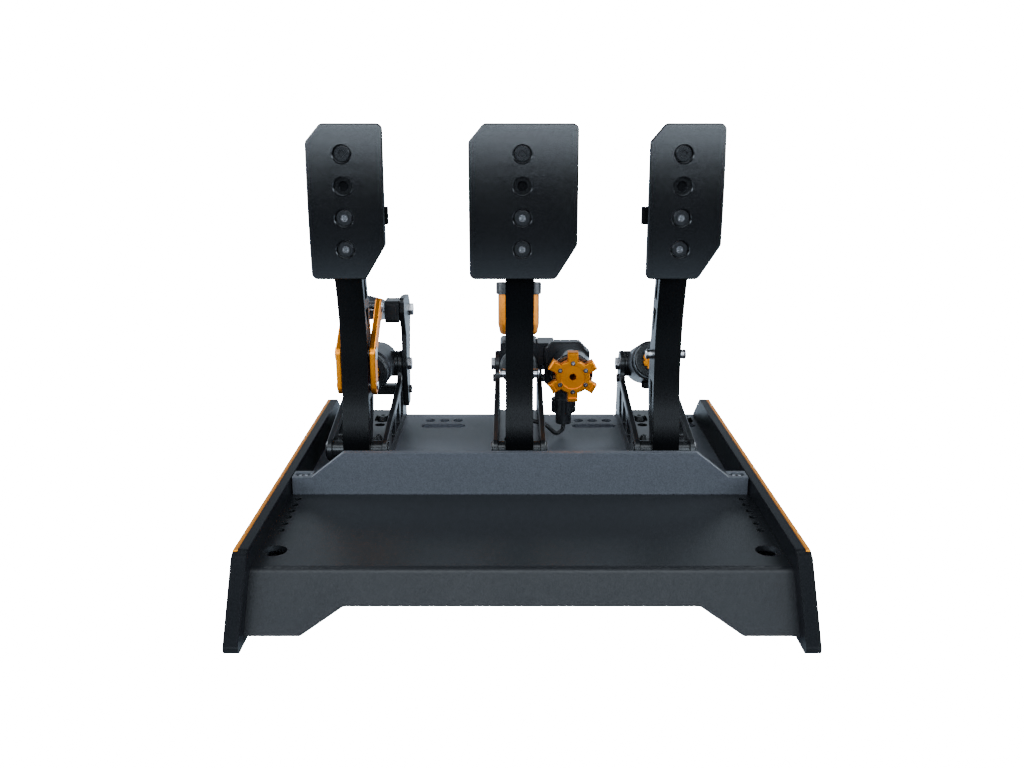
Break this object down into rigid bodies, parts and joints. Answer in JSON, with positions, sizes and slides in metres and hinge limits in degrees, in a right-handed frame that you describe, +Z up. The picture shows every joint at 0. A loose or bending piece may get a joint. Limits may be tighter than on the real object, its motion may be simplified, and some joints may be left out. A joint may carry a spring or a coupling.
{
  "type": "sim racing pedal set",
  "caption": "Clutch, brake and throttle pedals with sprung and hydraulic cylinders on a folded plate base between wedge-shaped side rails, with a heel stop.",
  "frame": {"origin": "on the floor, at the middle of the base's width and length", "axes": "+X to the driver's right, +Y away from the driver, +Z up"},
  "size_m": [0.3858, 0.4513, 0.3247],
  "materials": {
    "rail_black": "satin fine-textured black anodised",
    "trim_gold": "gold anodised",
    "deck_black": "satin black powder coat",
    "heel_black": "satin black powder coat",
    "stop_black": "satin black anodised",
    "steel": "turned and polished",
    "black_bolt": "black oxide",
    "frame_black": "black anodised, bright cut edges",
    "arm_black": "black anodised, bright cut edges",
    "face_black": "black anodised, fine bead-blasted",
    "barrel_grey": "grey anodised",
    "cap_black": "black anodised",
    "gold": "gold anodised",
    "cylinder_black": "black anodised",
    "sleeve_gloss": "glossy black",
    "sensor_steel": "turned steel",
    "cable_black": "matt black jacket"
  },
  "bodies": {
    "frame": {"brake_base_plate": "frame_black", "brake_side_plate_left": "frame_black", "brake_side_plate_right": "frame_black", "clutch_base_plate": "frame_black", "clutch_cross_block": "frame_black", "clutch_side_plate_left": "frame_black", "clutch_side_plate_right": "frame_black", "elastomer_sleeve": "sleeve_gloss", "heel_plate": "heel_black", "heel_stop": "stop_black", "heel_stop_screws": "steel", "helper_bracket_left": "frame_black", "helper_bracket_right": "frame_black", "master_cylinder": "cylinder_black", "master_cylinder_cap": "cap_black", "module_bolts": "black_bolt", "pivot_bolts": "black_bolt", "pivot_spacers": "black_bolt", "pressure_sensor": "sensor_steel", "rail_screws": "black_bolt", "rail_trims": "trim_gold", "rear_deck": "deck_black", "reservoir": "gold", "reservoir_cap": "cap_black", "sensor_cable": "cable_black", "side_rail_left": "rail_black", "side_rail_right": "rail_black", "throttle_base_plate": "frame_black", "throttle_side_plate_left": "frame_black", "throttle_side_plate_right": "frame_black", "trunnion_bolts": "steel", "trunnion_washers": "black_bolt", "unit_housing": "cylinder_black"},
    "clutch_pedal": {"clutch_arm": "arm_black", "clutch_face": "face_black", "clutch_face_screws": "steel", "clutch_rod_pin": "steel", "clutch_links": "gold", "clutch_link_pins": "steel"},
    "brake_pedal": {"brake_arm": "arm_black", "brake_face": "face_black", "brake_face_screws": "steel", "brake_rod_pin": "steel"},
    "throttle_pedal": {"throttle_arm": "arm_black", "throttle_face": "face_black", "throttle_face_screws": "steel", "throttle_rod_pin": "steel"},
    "clutch_cylinder": {"clutch_barrel": "barrel_grey", "clutch_barrel_cap": "cap_black"},
    "throttle_cylinder": {"throttle_barrel": "barrel_grey", "throttle_barrel_cap": "cap_black"},
    "clutch_push_rod": {"clutch_rod": "steel"},
    "brake_push_rod": {"brake_rod": "steel"},
    "throttle_push_rod": {"throttle_rod": "steel"},
    "clutch_ring": {"clutch_adjuster": "gold"},
    "throttle_ring": {"throttle_adjuster": "gold"},
    "helper_cylinder": {"helper_barrel": "barrel_grey"},
    "helper_push_rod": {"helper_rod": "steel"},
    "knob": {"preload_knob": "gold"}
  },
  "joints": [
    {"name": "clutch_press", "type": "hinge", "parent": "frame", "child": "clutch_pedal", "pos_m": [-0.1415, 0.0383, 0.047], "axis": [-1, 0, 0], "range_deg": [0, 12], "stiffness_Nm_per_rad": 80, "springref_deg": -3.44},
    {"name": "brake_press", "type": "hinge", "parent": "frame", "child": "brake_pedal", "pos_m": [0, 0.0383, 0.047], "axis": [-1, 0, 0], "range_deg": [0, 6], "stiffness_Nm_per_rad": 300, "springref_deg": -1.15},
    {"name": "throttle_press", "type": "hinge", "parent": "frame", "child": "throttle_pedal", "pos_m": [0.127, 0.0383, 0.047], "axis": [-1, 0, 0], "range_deg": [0, 16], "stiffness_Nm_per_rad": 30, "springref_deg": -5.73},
    {"name": "clutch_barrel_tilt", "type": "hinge", "parent": "frame", "child": "clutch_cylinder", "pos_m": [-0.1415, 0.174, 0.09], "axis": [-1, 0, 0], "range_deg": [-1.17, 0]},
    {"name": "clutch_rod_slide", "type": "slide", "parent": "clutch_cylinder", "child": "clutch_push_rod", "axis": [0, 0.9954, -0.0963], "range_m": [0, 0.01155]},
    {"name": "throttle_barrel_tilt", "type": "hinge", "parent": "frame", "child": "throttle_cylinder", "pos_m": [0.127, 0.174, 0.09], "axis": [-1, 0, 0], "range_deg": [0, 0.54]},
    {"name": "throttle_rod_slide", "type": "slide", "parent": "throttle_cylinder", "child": "throttle_push_rod", "axis": [0, 0.9517, -0.307], "range_m": [0, 0.0234]},
    {"name": "brake_rod_slide", "type": "slide", "parent": "frame", "child": "brake_push_rod", "axis": [0, 0.9838, -0.1793], "range_m": [0, 0.007]},
    {"name": "helper_barrel_tilt", "type": "hinge", "parent": "frame", "child": "helper_cylinder", "pos_m": [-0.1415, 0.2, 0.14], "axis": [-1, 0, 0], "range_deg": [-6.1, 0]},
    {"name": "helper_rod_slide", "type": "slide", "parent": "helper_cylinder", "child": "helper_push_rod", "axis": [0, 0.976, -0.2179], "range_m": [0, 0.0252]},
    {"name": "clutch_ring_turn", "type": "hinge", "parent": "clutch_cylinder", "child": "clutch_ring", "pos_m": [-0.1415, 0.174, 0.09], "axis": [0, 0.9954, -0.0963], "continuous": true},
    {"name": "throttle_ring_turn", "type": "hinge", "parent": "throttle_cylinder", "child": "throttle_ring", "pos_m": [0.127, 0.174, 0.09], "axis": [0, 0.9517, -0.307], "continuous": true},
    {"name": "knob_turn", "type": "hinge", "parent": "frame", "child": "knob", "pos_m": [0.049, 0.09, 0.0997], "axis": [0, -1, 0], "continuous": true}
  ],
  "couplings": [
    {"joint": "clutch_barrel_tilt", "follows": "clutch_press", "ratio": -0.0965},
    {"joint": "clutch_rod_slide", "follows": "clutch_press", "m_per_rad": 0.054665},
    {"joint": "helper_barrel_tilt", "follows": "clutch_press", "ratio": -0.5028},
    {"joint": "helper_rod_slide", "follows": "clutch_press", "m_per_rad": 0.11983},
    {"joint": "throttle_barrel_tilt", "follows": "throttle_press", "ratio": 0.0329},
    {"joint": "throttle_rod_slide", "follows": "throttle_press", "m_per_rad": 0.083328},
    {"joint": "brake_rod_slide", "follows": "brake_press", "m_per_rad": 0.0665}
  ]
}
